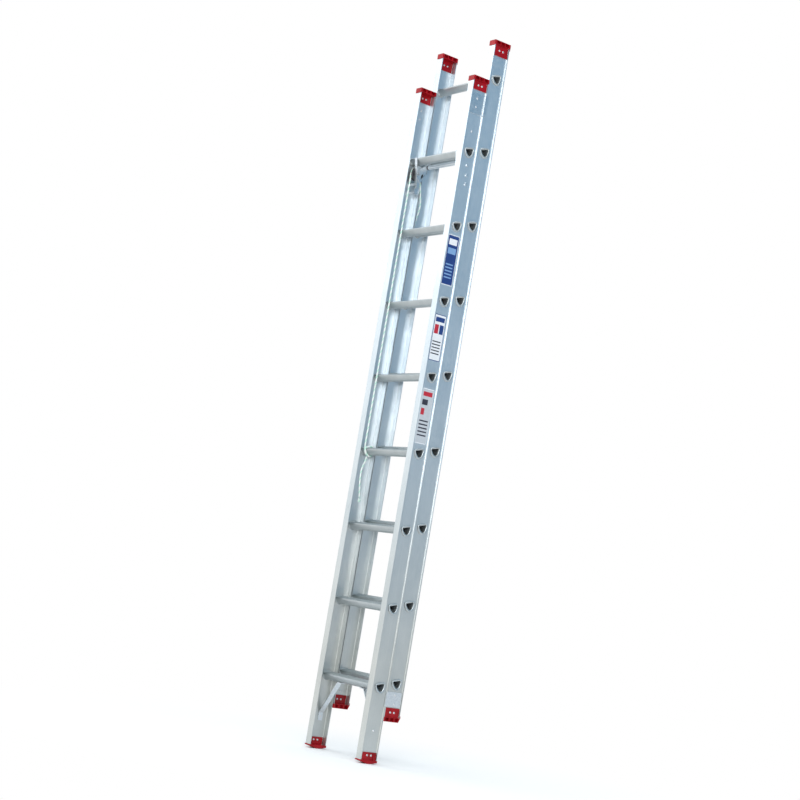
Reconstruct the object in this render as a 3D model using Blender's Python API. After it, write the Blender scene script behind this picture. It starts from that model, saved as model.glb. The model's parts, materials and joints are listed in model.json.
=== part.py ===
"""Two-section aluminium extension ladder, modelled closed, in metres.

Z runs up the stiles, X across the ladder, Y from the climbing face to the back.
The origin is on the ground between the two feet, midway through the depth.
The base section is in front (negative Y) and the fly section behind it.
"""

import math

import bmesh
import bpy
from mathutils import Vector

MM = 0.001
GAP = 0.3 * MM

# Stiles: an I section, flanges front and back, web outboard of the middle
BASE_HALF_WIDTH = 193.0 * MM
FLY_HALF_WIDTH = 190.0 * MM
SECTION_Y = 38.0 * MM
HALF_DEPTH = 37.0 * MM
FLANGE_WIDTH = 34.0 * MM
FLANGE_THICK = 2.5 * MM
OUTER_RECESS = 6.0 * MM
WEB_THICK = 2.4 * MM
FILLET = 2.0 * MM
BASE_STILE_Z = (14.3 * MM, 2674.0 * MM)
FLY_STILE_Z = (181.3 * MM, 2844.0 * MM)

# Rungs: hollow, flat on top and narrow below, swaged over the stile webs
RUNG_PITCH = 300.0 * MM
BASE_RUNG_FIRST = 290.0 * MM
FLY_RUNG_FIRST = 310.0 * MM
BASE_RUNGS = 8
FLY_RUNGS = 9
RUNG_TOP = 9.5 * MM
RUNG_BOTTOM = 20.0 * MM
RUNG_HALF = 18.0 * MM
RUNG_FOOT_HALF = 5.0 * MM
TREAD_TILT = 15.0
RUNG_WALL = 2.0 * MM
LIP_PROUD = 6.0 * MM
LIP_SPREAD = 6.0 * MM
BEAD_LENGTH = 5.0 * MM
MOUTH_INSET = 1.2 * MM
MOUTH_DEPTH = 3.0 * MM
TUBE_INSIDE = 13.0 * MM

# Plastic end caps and feet
CAP_OVERHANG = 1.5 * MM
CAP_LIP = 2.0 * MM
CAP_HEIGHT = 17.0 * MM
CAP_SLOTS = (-22.0 * MM, 0.0, 22.0 * MM)
SLOT_WIDTH = 17.5 * MM
SLOT_EDGE = 2.2 * MM
SLOT_DEPTH = 11.0 * MM
SKIRT_REACH = 32.2 * MM
SKIRT_THICK = 3.2 * MM
BASE_SKIRT = 36.0 * MM
FLY_SKIRT = 43.0 * MM
FLY_LOW_SKIRT = 35.0 * MM
FLY_LOW_TAPER = 7.0 * MM
SOLE_TOP = 14.0 * MM
SOLE_POINTS = ((-39.0 * MM, 9.5 * MM), (-6.0 * MM, 0.0), (6.0 * MM, 0.0), (39.0 * MM, 6.0 * MM))
SOLE_HALF = 39.0 * MM
FOOT_SKIRT_TOP = 43.0 * MM
FOOT_HEEL = (18.0 * MM, 37.0 * MM)

# Guides: folded plates that tie one section to the other
GUIDE_THICK = 2.0 * MM
GUIDE_OUT = 193.5 * MM
BASE_GUIDE_Z = (2542.0 * MM, 2624.0 * MM)
FLY_GUIDE_Z = (220.0 * MM, 276.0 * MM)

# Braces from the web to the underside of the lowest rung
BRACE_THICK = 3.0 * MM
BRACE_HALF = 10.0 * MM
BRACE_Y = 4.0 * MM - SECTION_Y
BRACE_WEB_Z = (108.0 * MM, 140.0 * MM)
BRACE_RUNG_X = (64.0 * MM, 92.0 * MM)

# Rung lock, hung under the top base rung; Y here is from the base section plane
AXLE_Y = 2.5 * MM
AXLE_Z = 2334.0 * MM
AXLE_RADIUS = 4.0 * MM
BOLT_RADIUS = 3.0 * MM
LOWER_BOLTS = ((7.0 * MM, 2294.0 * MM), (10.0 * MM, 2259.0 * MM))
BOLT_HEAD = (6.5 * MM, 4.0 * MM)
CHEEK_X = (143.5 * MM, 145.9 * MM)
BAND_X = (129.0 * MM, 144.5 * MM)
BAND_THICK = 2.5 * MM
BAND_TOP = (-23.5 * MM, 2395.0 * MM)
BAND_BOTTOM = (0.5 * MM, 2272.0 * MM)
STANDOFF_RADIUS = 6.0 * MM
HOOK_X = (138.0 * MM, 143.0 * MM)
DISC_X = (133.0 * MM, 137.7 * MM)
DISC_RADIUS = 9.0 * MM
BAR_CENTRE = (47.4 * MM, 2371.5 * MM)
BAR_RADIUS = 8.5 * MM
BAR_WALL = 1.6 * MM
ARM_RADIUS = 9.0 * MM
SPRING_X = (130.5 * MM, 137.0 * MM)
SPRING_RADIUS = 6.2 * MM
SPRING_WIRE = 0.7 * MM
SPRING_TURNS = 3
AXLE_END = 127.0 * MM

# Rope and its wheel, on the left lock
ROPE_RADIUS = 3.5 * MM
WHEEL_X = -151.6 * MM
WHEEL_HALF = 5.2 * MM
WHEEL_PITCH_RADIUS = 26.0 * MM
WHEEL_RADIUS = 29.5 * MM
WHEEL_BORE = 4.3 * MM
HAND_Y = AXLE_Y - WHEEL_PITCH_RADIUS
RUN_Y = AXLE_Y + WHEEL_PITCH_RADIUS
STOW_X = -169.4 * MM
STOW_Y = 46.2 * MM
HITCH_RUNG = 3
HITCH_X = (-158.0 * MM, -143.0 * MM)
ANCHOR_Z = (262.0 * MM, 286.0 * MM)
TAIL_POINTS = (
    (-150.5, -8.0, 1162.1),
    (-150.5, -8.2, 1155.0),
    (-150.0, -12.0, 1140.0),
    (-148.0, -22.0, 1110.0),
    (-146.0, -23.0, 1070.0),
    (-147.0, -16.0, 1025.0),
    (-149.0, -10.0, 996.6),
)
KNOT_CENTRE = (-149.3, -8.6, 987.2)
KNOT_RADIUS = 8.5 * MM


def clear_scene():
    for item in list(bpy.data.objects):
        bpy.data.objects.remove(item, do_unlink=True)


def make_material(name, colour, metallic, roughness):
    material = bpy.data.materials.new(name)
    material.use_nodes = True
    shader = material.node_tree.nodes["Principled BSDF"]
    shader.inputs["Base Color"].default_value = (*colour, 1.0)
    shader.inputs["Metallic"].default_value = metallic
    shader.inputs["Roughness"].default_value = roughness
    return material


def add_object(name, mesh, material):
    item = bpy.data.objects.new(name, mesh)
    bpy.context.scene.collection.objects.link(item)
    if material is not None and not mesh.materials:
        mesh.materials.append(material)
    return item


def mesh_from(bm, name, smooth_degrees=None):
    bmesh.ops.recalc_face_normals(bm, faces=bm.faces)
    mesh = bpy.data.meshes.new(name)
    bm.to_mesh(mesh)
    bm.free()
    if smooth_degrees is not None:
        mesh.shade_smooth()
        mesh.set_sharp_from_angle(angle=math.radians(smooth_degrees))
    return mesh


AXES = {
    "x": lambda a, b, c: (c, a, b),
    "y": lambda a, b, c: (a, c, b),
    "z": lambda a, b, c: (a, b, c),
}


def prism(outline, axis, low, high):
    """A closed solid: an outline in the plane across an axis, pulled along it."""
    place = AXES[axis]
    bm = bmesh.new()
    rings = [
        [bm.verts.new(place(a, b, level)) for a, b in outline]
        for level in (low, high)
    ]
    bm.faces.new(rings[0])
    bm.faces.new(rings[1])
    count = len(outline)
    for i in range(count):
        j = (i + 1) % count
        bm.faces.new((rings[0][i], rings[0][j], rings[1][j], rings[1][i]))
    return bm


def box(x, y, z):
    return prism([(x[0], y[0]), (x[1], y[0]), (x[1], y[1]), (x[0], y[1])], "z", z[0], z[1])


def circle(centre, radius, count=20, start=0.0, sweep=2.0 * math.pi, closed=True):
    steps = count if closed else count - 1
    return [
        (
            centre[0] + radius * math.cos(start + sweep * i / steps),
            centre[1] + radius * math.sin(start + sweep * i / steps),
        )
        for i in range(count)
    ]


def turned(profile, centre, count=24):
    """A solid turned about an axis along X; the profile is (x, radius) pairs round a loop."""
    bm = bmesh.new()
    rings = []
    for x, radius in profile:
        if radius == 0.0:
            rings.append([bm.verts.new((x, centre[0], centre[1]))])
            continue
        rings.append([bm.verts.new((x, y, z)) for y, z in circle(centre, radius, count)])
    loops = len(rings)
    open_loop = len(rings[0]) == 1
    for k in range(loops - 1 if open_loop else loops):
        first = rings[k]
        second = rings[(k + 1) % loops]
        for i in range(count):
            j = (i + 1) % count
            corners = [first[i % len(first)], first[j % len(first)]]
            corners += [second[j % len(second)], second[i % len(second)]]
            bm.faces.new(list(dict.fromkeys(corners)))
    return bm


def tube_bm(points, radius, sides, caps=True):
    """A closed round bar swept along a line of points."""
    bm = bmesh.new()
    rings = []
    side = None
    for i, point in enumerate(points):
        before = points[max(i - 1, 0)]
        after = points[min(i + 1, len(points) - 1)]
        along = (after - before).normalized()
        if side is None:
            side = along.orthogonal().normalized()
        side = (side - along * side.dot(along)).normalized()
        other = along.cross(side)
        ring = []
        for k in range(sides):
            angle = 2.0 * math.pi * k / sides
            offset = side * math.cos(angle) + other * math.sin(angle)
            ring.append(bm.verts.new(point + offset * radius))
        rings.append(ring)
    for first, second in zip(rings, rings[1:]):
        for i in range(sides):
            j = (i + 1) % sides
            bm.faces.new((first[i], first[j], second[j], second[i]))
    if caps:
        bm.faces.new(rings[0])
        bm.faces.new(rings[-1])
    return bm


def hide(item):
    item.hide_render = True
    item.display_type = "WIRE"


def build(name, solids, cuts, material, smooth_degrees=None):
    """One node: the solids joined into one body, less the cuts."""
    item = add_object(name, mesh_from(solids[0], name, smooth_degrees), material)
    operands = [("UNION", bm) for bm in solids[1:]] + [("DIFFERENCE", bm) for bm in cuts]
    for index, (operation, bm) in enumerate(operands):
        tool_name = f"tool_{name}_{index}"
        tool = add_object(tool_name, mesh_from(bm, tool_name, smooth_degrees), material)
        hide(tool)
        modifier = item.modifiers.new(f"{operation.lower()}_{index}", "BOOLEAN")
        modifier.operation = operation
        modifier.solver = "EXACT"
        modifier.object = tool
    return item


def mirror_x(bm):
    for vert in bm.verts:
        vert.co.x = -vert.co.x
    return bm


def sided(bm, side):
    return mirror_x(bm) if side < 0 else bm


def rung_profile(offset):
    """Section of a rung in (y, z), grown by an offset, with the tread tilted to lie level in use."""
    top = RUNG_TOP + offset
    bottom = -RUNG_BOTTOM - offset
    half = RUNG_HALF + offset
    foot = max(RUNG_FOOT_HALF + 0.55 * offset, 2.0 * MM)
    corner = 3.0 * MM
    shoulder = top - 6.0 * MM
    waist = bottom + 9.0 * MM
    waist_half = foot + 6.5 * MM
    right = [
        (half - corner, top),
        (half, top - corner),
        (half - 0.6 * MM, shoulder - 2.0 * MM),
        (waist_half, waist),
        (foot + 1.7 * MM, bottom + 2.5 * MM),
        (foot - 2.5 * MM, bottom),
    ]
    outline = right + [(-y, z) for y, z in reversed(right)]
    cosine = math.cos(math.radians(TREAD_TILT))
    sine = math.sin(math.radians(TREAD_TILT))
    return [(y * cosine - z * sine, y * sine + z * cosine) for y, z in outline]


def rung_bm(web_outer, y, z):
    """One rung: a tube with a bead inside each web and a rolled lip outside it."""
    web_inner = web_outer - WEB_THICK
    outer = [
        (web_outer + LIP_PROUD, LIP_SPREAD - 0.8 * MM),
        (web_outer + GAP, LIP_SPREAD),
        (web_outer + GAP, 0.0),
        (web_inner - GAP, 0.0),
        (web_inner - GAP, LIP_SPREAD - 1.0 * MM),
        (web_inner - BEAD_LENGTH, 0.0),
    ]
    inner = [
        (web_outer + LIP_PROUD, 1.6 * MM),
        (web_outer + LIP_PROUD - MOUTH_DEPTH, -MOUTH_INSET),
        (web_outer + LIP_PROUD - TUBE_INSIDE, -RUNG_WALL),
    ]
    stations = outer + [(-x, offset) for x, offset in reversed(outer)]
    stations += [(-x, offset) for x, offset in inner]
    stations += list(reversed(inner))
    bm = bmesh.new()
    rings = [
        [bm.verts.new((x, y + a, z + b)) for a, b in rung_profile(offset)]
        for x, offset in stations
    ]
    count = len(rings[0])
    for k, first in enumerate(rings):
        second = rings[(k + 1) % len(rings)]
        for i in range(count):
            j = (i + 1) % count
            bm.faces.new((first[i], first[j], second[j], second[i]))
    return bm


def stile_profile(half_width):
    """I section in (x, y) about the section plane, for the right-hand stile."""
    outer = half_width
    inner = half_width - FLANGE_WIDTH
    web_out = half_width - OUTER_RECESS
    web_in = web_out - WEB_THICK
    edge = HALF_DEPTH
    root = HALF_DEPTH - FLANGE_THICK
    upper = [
        (web_out, root - FILLET),
        (web_out + FILLET, root),
        (outer, root),
        (outer, edge),
        (inner, edge),
        (inner, root),
        (web_in - FILLET, root),
        (web_in, root - FILLET),
    ]
    return upper + [(x, -y) for x, y in reversed(upper)]


def build_stile(name, half_width, section_y, span, rung_levels, bolt_holes, side, material):
    outline = [(x, y + section_y) for x, y in stile_profile(half_width)]
    body = sided(prism(outline, "z", span[0], span[1]), side)
    web = (half_width - OUTER_RECESS - WEB_THICK - 2.0 * MM, half_width - OUTER_RECESS + 2.0 * MM)
    cuts = []
    for level in rung_levels:
        hole = [(section_y + a, level + b) for a, b in rung_profile(GAP)]
        cuts.append(sided(prism(hole, "x", web[0], web[1]), side))
    for y, z, radius in bolt_holes:
        hole = circle((section_y + y, z), radius, 12)
        cuts.append(sided(prism(hole, "x", web[0], web[1]), side))
    joined = bmesh.new()
    for cut in cuts:
        piece = bpy.data.meshes.new("cut")
        cut.to_mesh(piece)
        cut.free()
        joined.from_mesh(piece)
        bpy.data.meshes.remove(piece)
    return build(name, [body], [joined], material)


def end_cap(name, half_width, section_y, z_stile, direction, front, back, skirt, side, material,
            taper=0.0):
    """A cap over a stile end: block with three pockets a side, and a skirt each side of the web."""
    outer = half_width + CAP_OVERHANG
    inner = half_width - FLANGE_WIDTH - CAP_OVERHANG
    web_out = half_width - OUTER_RECESS
    web_in = web_out - WEB_THICK
    face = z_stile + direction * GAP
    top = z_stile + direction * (CAP_HEIGHT + GAP)
    root = z_stile - direction * skirt
    low, high = sorted((face, top))
    block = [
        (section_y + front, face),
        (section_y + back, face),
        (section_y + back - taper, top),
        (section_y + front, top),
    ]
    solids = [prism(block, "x", inner, outer)]
    skirt_z = sorted((root, face + direction * 2.0 * MM))
    skirt_y = (section_y - SKIRT_REACH, section_y + SKIRT_REACH)
    solids.append(box((web_out + GAP, web_out + GAP + SKIRT_THICK), skirt_y, skirt_z))
    solids.append(box((web_in - GAP - SKIRT_THICK, web_in - GAP), skirt_y, skirt_z))
    if front < -HALF_DEPTH - 1.5 * MM:
        lip_z = sorted((face - direction * 3.0 * MM, face + direction * 2.0 * MM))
        lip_y = (section_y + front, section_y - HALF_DEPTH - GAP)
        solids.append(box((inner, outer), lip_y, lip_z))
    if back > HALF_DEPTH + 1.5 * MM:
        lip_z = sorted((face - direction * 8.0 * MM, face + direction * 2.0 * MM))
        lip_y = (section_y + HALF_DEPTH + GAP, section_y + back)
        solids.append(box((inner, outer), lip_y, lip_z))
    cuts = []
    for centre in CAP_SLOTS:
        slot_y = (section_y + centre - SLOT_WIDTH / 2, section_y + centre + SLOT_WIDTH / 2)
        slot_z = (low + SLOT_EDGE, high - SLOT_EDGE)
        cuts.append(box((inner - 1.0 * MM, inner + SLOT_DEPTH), slot_y, slot_z))
        cuts.append(box((outer - SLOT_DEPTH, outer + 1.0 * MM), slot_y, slot_z))
    solids = [sided(bm, side) for bm in solids]
    cuts = [sided(bm, side) for bm in cuts]
    return build(name, solids, cuts, material)


def base_foot(name, side, material):
    """A shoe under the base stile: a sole with a keel, skirts each side of the web, a heel block."""
    outer = BASE_HALF_WIDTH + CAP_OVERHANG
    inner = BASE_HALF_WIDTH - FLANGE_WIDTH - CAP_OVERHANG
    web_out = BASE_HALF_WIDTH - OUTER_RECESS
    web_in = web_out - WEB_THICK
    y0 = -SECTION_Y
    front = y0 - SOLE_HALF
    back = y0 + SOLE_HALF
    sole = [(y0 + a, b) for a, b in SOLE_POINTS] + [(back, SOLE_TOP), (front, SOLE_TOP)]
    solids = [prism(sole, "x", inner, outer)]
    skirt_y = (y0 - SKIRT_REACH, y0 + SKIRT_REACH)
    sunk = SOLE_TOP - 2.0 * MM
    skirt_z = (sunk, FOOT_SKIRT_TOP)
    solids.append(box((web_out + GAP, web_out + GAP + SKIRT_THICK), skirt_y, skirt_z))
    solids.append(box((web_in - GAP - SKIRT_THICK, web_in - GAP), skirt_y, skirt_z))
    heel_x = (web_out + GAP + SKIRT_THICK - 0.5 * MM, BASE_HALF_WIDTH - 0.2 * MM)
    heel_y = (y0 + FOOT_HEEL[0], y0 + SKIRT_REACH - 0.4 * MM)
    solids.append(box(heel_x, heel_y, (sunk, FOOT_HEEL[1])))
    return build(name, [sided(bm, side) for bm in solids], [], material)


def guide_plate(name, web_outer, other_web, plane, toward, span, side, material):
    """A folded plate: flat on its own web, round the other section's flange, hooked behind it."""
    t = GUIDE_THICK
    root = HALF_DEPTH - FLANGE_THICK
    far = 2.0 * SECTION_Y - root + 0.8 * MM
    x0 = web_outer + GAP
    hook_x = other_web + FILLET + GAP
    points = [
        (x0, -SKIRT_REACH),
        (x0 + t, -SKIRT_REACH),
        (x0 + t, root - GAP - t),
        (GUIDE_OUT + t, root - GAP - t),
        (GUIDE_OUT + t, far + t),
        (hook_x, far + t),
        (hook_x, far),
        (GUIDE_OUT, far),
        (GUIDE_OUT, root - GAP),
        (x0 + FILLET + GAP, root - GAP),
        (x0, SKIRT_REACH),
    ]
    outline = [(x, plane + toward * y) for x, y in points]
    return build(name, [sided(prism(outline, "z", span[0], span[1]), side)], [], material)


def brace_strap(name, side, material):
    """A flat strap: foot on the web, slope, and a tab under the lowest rung."""
    t = BRACE_THICK
    web = BASE_HALF_WIDTH - OUTER_RECESS - WEB_THICK - GAP
    under = BASE_RUNG_FIRST - RUNG_BOTTOM - GAP
    outline = [
        (web, BRACE_WEB_Z[0]),
        (web, BRACE_WEB_Z[1]),
        (BRACE_RUNG_X[1], under - 1.5 * MM),
        (BRACE_RUNG_X[1] - 1.5 * MM, under),
        (BRACE_RUNG_X[0], under),
        (BRACE_RUNG_X[0], under - t),
        (BRACE_RUNG_X[1] - 1.5 * MM - 0.5 * t, under - t),
        (web - t, BRACE_WEB_Z[1] - 1.0 * MM),
        (web - t, BRACE_WEB_Z[0]),
    ]
    body = prism(outline, "y", BRACE_Y - BRACE_HALF, BRACE_Y + BRACE_HALF)
    hole = circle((BRACE_Y, BRACE_WEB_Z[0] + 16.0 * MM), 3.0 * MM, 12)
    cut = prism(hole, "x", web - t - 2.0 * MM, web + 2.0 * MM)
    return build(name, [sided(body, side)], [sided(cut, side)], material)


def base_yz(points):
    return [(y - SECTION_Y, z) for y, z in points]


def lock_bracket(name, side, material):
    """Cheek plate with a front band, held off the web by two spacer tubes."""
    axle = (AXLE_Y - SECTION_Y, AXLE_Z)
    cheek = base_yz([
        (-14.0 * MM, 2367.0 * MM),
        (16.0 * MM, 2367.0 * MM),
        (22.0 * MM, 2345.0 * MM),
        (20.0 * MM, 2270.0 * MM),
        (16.0 * MM, 2252.0 * MM),
        (6.0 * MM, 2250.0 * MM),
        (0.5 * MM, 2258.0 * MM),
        (0.0, 2276.0 * MM),
        (-9.0 * MM, 2322.0 * MM),
    ])
    solids = [prism(cheek, "x", CHEEK_X[0], CHEEK_X[1])]
    band = base_yz([
        BAND_TOP,
        (BAND_TOP[0] + BAND_THICK, BAND_TOP[1] + 0.5 * MM),
        (BAND_BOTTOM[0] + BAND_THICK, BAND_BOTTOM[1]),
        (BAND_BOTTOM[0], BAND_BOTTOM[1] - 0.5 * MM),
    ])
    solids.append(prism(band, "x", BAND_X[0], BAND_X[1]))
    web_in = BASE_HALF_WIDTH - OUTER_RECESS - WEB_THICK
    cuts = [prism(circle(axle, AXLE_RADIUS + GAP, 20), "x", CHEEK_X[0] - 1.0 * MM, CHEEK_X[1] + 1.0 * MM)]
    for y, z in LOWER_BOLTS:
        centre = (y - SECTION_Y, z)
        spacer = prism(circle(centre, STANDOFF_RADIUS, 16), "x", CHEEK_X[0] + 1.0 * MM, web_in - GAP)
        solids.append(spacer)
        cuts.append(prism(circle(centre, BOLT_RADIUS + GAP, 12), "x", CHEEK_X[0] - 1.0 * MM, web_in + 1.0 * MM))
    solids = [sided(bm, side) for bm in solids]
    cuts = [sided(bm, side) for bm in cuts]
    return build(name, solids, cuts, material)


def lock_hook(name, side, material, pivot):
    """The swinging latch plate: an eye on the axle, a tail below, an arm to the bar and a finger."""
    arm_end = circle(BAR_CENTRE, ARM_RADIUS, 5, math.radians(-60.0), math.radians(60.0), closed=False)
    eye = circle((AXLE_Y, AXLE_Z), 11.0 * MM, 8, math.radians(125.0), math.radians(80.0), closed=False)
    outline = eye + [
        (7.0 * MM, 2312.0 * MM),
        (16.0 * MM, 2303.0 * MM),
        (22.0 * MM, 2304.0 * MM),
        (50.0 * MM, 2350.0 * MM),
    ] + arm_end + [
        (BAR_CENTRE[0] + ARM_RADIUS, 2392.0 * MM),
        (54.0 * MM, 2396.0 * MM),
        (48.0 * MM, 2397.0 * MM),
        (40.0 * MM, 2384.0 * MM),
    ]
    window = [
        (17.0 * MM, 2331.0 * MM),
        (42.0 * MM, 2357.0 * MM),
        (44.0 * MM, 2347.0 * MM),
        (18.0 * MM, 2314.0 * MM),
    ]
    body = prism(base_yz(outline), "x", HOOK_X[0], HOOK_X[1])
    reach = (HOOK_X[0] - 1.0 * MM, HOOK_X[1] + 1.0 * MM)
    axle = (AXLE_Y - SECTION_Y, AXLE_Z)
    cuts = [
        prism(base_yz(window), "x", reach[0], reach[1]),
        prism(circle(axle, AXLE_RADIUS + GAP, 20), "x", reach[0], reach[1]),
    ]
    item = build(name, [sided(body, side)], [sided(bm, side) for bm in cuts], material)
    set_parent(item, pivot)
    return item


def lock_disc(name, side, material, pivot):
    """The dark bush that carries one end of the tie bar on the latch plate."""
    loop = [
        (DISC_X[0], 0.0),
        (DISC_X[0], DISC_RADIUS - 2.0 * MM),
        (DISC_X[0] + 1.5 * MM, DISC_RADIUS),
        (DISC_X[1], DISC_RADIUS),
        (DISC_X[1], 0.0),
    ]
    body = turned(loop, (BAR_CENTRE[0] - SECTION_Y, BAR_CENTRE[1]), 24)
    item = build(name, [sided(body, side)], [], material, 40.0)
    set_parent(item, pivot)
    return item


def lock_bar(name, material, pivot):
    """The tube that ties the two latch plates together, so that both swing as one."""
    end = DISC_X[0] - GAP
    loop = [
        (-end, BAR_RADIUS - BAR_WALL),
        (-end, BAR_RADIUS),
        (end, BAR_RADIUS),
        (end, BAR_RADIUS - BAR_WALL),
    ]
    body = turned(loop, (BAR_CENTRE[0] - SECTION_Y, BAR_CENTRE[1]), 28)
    item = build(name, [body], [], material, 40.0)
    set_parent(item, pivot)
    return item


def bolt_profile(head_at, end_at, radius, head):
    """Loop of (x, radius) pairs for a bolt with a flat head outside the web."""
    return [
        (head_at + head[1], 0.0),
        (head_at + head[1], head[0] - 0.8 * MM),
        (head_at + head[1] - 0.8 * MM, head[0]),
        (head_at + GAP, head[0]),
        (head_at + GAP, radius),
        (end_at, radius),
        (end_at, 0.0),
    ]


def lock_axle(name, side, material):
    web_out = BASE_HALF_WIDTH - OUTER_RECESS
    profile = bolt_profile(web_out, AXLE_END, AXLE_RADIUS, BOLT_HEAD)
    body = turned(profile, (AXLE_Y - SECTION_Y, AXLE_Z), 20)
    return build(name, [sided(body, side)], [], material, 40.0)


def lower_bolt(name, centre, side, material):
    web_out = BASE_HALF_WIDTH - OUTER_RECESS
    profile = bolt_profile(web_out, CHEEK_X[0] + GAP, BOLT_RADIUS, BOLT_HEAD)
    body = turned(profile, (centre[0] - SECTION_Y, centre[1]), 12)
    return build(name, [sided(body, side)], [], material, 40.0)


def lock_spring(name, side, material):
    """A torsion spring wound round the axle, inboard of the latch."""
    centre = (AXLE_Y - SECTION_Y, AXLE_Z)
    turn_steps = 10
    count = SPRING_TURNS * turn_steps + 1
    points = []
    for i in range(count):
        angle = 2.0 * math.pi * i / turn_steps
        x = SPRING_X[0] + (SPRING_X[1] - SPRING_X[0]) * i / (count - 1)
        y = centre[0] + SPRING_RADIUS * math.cos(angle)
        z = centre[1] + SPRING_RADIUS * math.sin(angle)
        points.append(Vector((x, y, z)))
    return build(name, [sided(tube_bm(points, SPRING_WIRE, 5), side)], [], material, 40.0)


def pulley_wheel(name, material, pivot):
    """A grooved wheel, turned about the lock axle."""
    web = 2.2 * MM
    hub = 9.0 * MM
    groove = WHEEL_PITCH_RADIUS - ROPE_RADIUS - GAP
    profile = [
        (WHEEL_X + WHEEL_HALF, WHEEL_BORE),
        (WHEEL_X + WHEEL_HALF, hub),
        (WHEEL_X + web, hub + 1.5 * MM),
        (WHEEL_X + web, groove - 4.0 * MM),
        (WHEEL_X + WHEEL_HALF, groove - 2.0 * MM),
        (WHEEL_X + WHEEL_HALF, WHEEL_RADIUS),
        (WHEEL_X + WHEEL_HALF - 0.6 * MM, WHEEL_RADIUS),
        (WHEEL_X + WHEEL_HALF - 1.3 * MM, WHEEL_PITCH_RADIUS - 1.0 * MM),
        (WHEEL_X + 2.0 * MM, groove - 0.3 * MM),
    ]
    mirrored = [(2.0 * WHEEL_X - x, radius) for x, radius in reversed(profile)]
    body = turned(profile + mirrored, (AXLE_Y - SECTION_Y, AXLE_Z), 24)
    item = build(name, [body], [], material, 40.0)
    set_parent(item, pivot)
    return item


def smooth_route(points, spacing):
    """Points at an even spacing along a smooth curve through the route's own points."""
    route = [Vector(p) for p in points]
    fine = []
    steps = 12
    for i in range(len(route) - 1):
        before = route[max(i - 1, 0)]
        start = route[i]
        end = route[i + 1]
        after = route[min(i + 2, len(route) - 1)]
        for k in range(steps):
            t = k / steps
            fine.append(0.5 * (
                2.0 * start
                + (end - before) * t
                + (2.0 * before - 5.0 * start + 4.0 * end - after) * t * t
                + (3.0 * start - before - 3.0 * end + after) * t * t * t
            ))
    fine.append(route[-1])
    lengths = [0.0]
    for first, second in zip(fine, fine[1:]):
        lengths.append(lengths[-1] + (second - first).length)
    count = max(int(round(lengths[-1] / spacing)), 2)
    result = []
    index = 0
    for k in range(count + 1):
        target = lengths[-1] * k / count
        while index < len(fine) - 2 and lengths[index + 1] < target:
            index += 1
        span = lengths[index + 1] - lengths[index]
        part = (target - lengths[index]) / span if span else 0.0
        result.append(fine[index].lerp(fine[index + 1], min(part, 1.0)))
    return result


def rope(name, points, material, resolution=2):
    curve = bpy.data.curves.new(name, "CURVE")
    curve.dimensions = "3D"
    curve.bevel_depth = ROPE_RADIUS
    curve.bevel_resolution = resolution
    curve.use_fill_caps = True
    spline = curve.splines.new("POLY")
    spline.points.add(len(points) - 1)
    for target, point in zip(spline.points, points):
        target.co = (point.x, point.y, point.z, 1.0)
    curve.materials.append(material)
    item = bpy.data.objects.new(name, curve)
    bpy.context.scene.collection.objects.link(item)
    return item


def straight(start, end, count):
    first = Vector(start)
    last = Vector(end)
    return [first.lerp(last, i / (count - 1)) for i in range(count)]


def build_ropes(material):
    """Rope from its hitch up the front, over the wheel and down behind to its anchor."""
    axle_y = AXLE_Y - SECTION_Y
    hand_y = HAND_Y - SECTION_Y
    hitch_z = BASE_RUNG_FIRST + HITCH_RUNG * RUNG_PITCH
    hand_x = sum(HITCH_X) / 2
    hand = straight(
        (hand_x, hand_y, hitch_z + RUNG_TOP + 2.0 * ROPE_RADIUS + 2.0 * GAP),
        (WHEEL_X, hand_y, AXLE_Z - GAP),
        12,
    )
    rope("rope_hand_line", hand, material)
    over = []
    lead = math.radians(4.0)
    steps = 13
    inside = [lead + (math.pi - 2.0 * lead) * i / steps for i in range(steps + 1)]
    for angle in [math.pi] + list(reversed(inside)) + [0.0]:
        over.append(Vector((
            WHEEL_X,
            axle_y + WHEEL_PITCH_RADIUS * math.cos(angle),
            AXLE_Z + WHEEL_PITCH_RADIUS * math.sin(angle),
        )))
    rope("rope_over_wheel", over, material)
    run_y = RUN_Y - SECTION_Y
    stow_y = STOW_Y - SECTION_Y
    run = smooth_route([
        (WHEEL_X, run_y, AXLE_Z - 2.0 * GAP),
        (WHEEL_X, run_y - 0.5 * MM, AXLE_Z - 30.0 * MM),
        (WHEEL_X - 0.5 * MM, stow_y - 4.0 * MM, AXLE_Z - 90.0 * MM),
        (WHEEL_X - 1.0 * MM, stow_y + 1.0 * MM, AXLE_Z - 130.0 * MM),
        (WHEEL_X - 12.0 * MM, stow_y + 1.0 * MM, AXLE_Z - 175.0 * MM),
        (STOW_X, stow_y, AXLE_Z - 220.0 * MM),
        (STOW_X, stow_y, AXLE_Z - 260.0 * MM),
    ], 12.0 * MM)
    run += straight((STOW_X, stow_y, AXLE_Z - 300.0 * MM), (STOW_X, stow_y, ANCHOR_Z[0] - 6.0 * MM), 16)
    rope("rope_fly_run", run, material)


def build_hitch(material):
    """Two round turns about the rung, drawn together as one band."""
    level = BASE_RUNG_FIRST + HITCH_RUNG * RUNG_PITCH
    inner = [(y - SECTION_Y, level + z) for y, z in rung_profile(GAP)]
    outer = [(y - SECTION_Y, level + z) for y, z in rung_profile(GAP + 2.0 * ROPE_RADIUS)]
    body = prism(outer, "x", HITCH_X[0], HITCH_X[1])
    cut = prism(inner, "x", HITCH_X[0] - 1.0 * MM, HITCH_X[1] + 1.0 * MM)
    build("rope_hitch", [body], [cut], material, 40.0)


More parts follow.
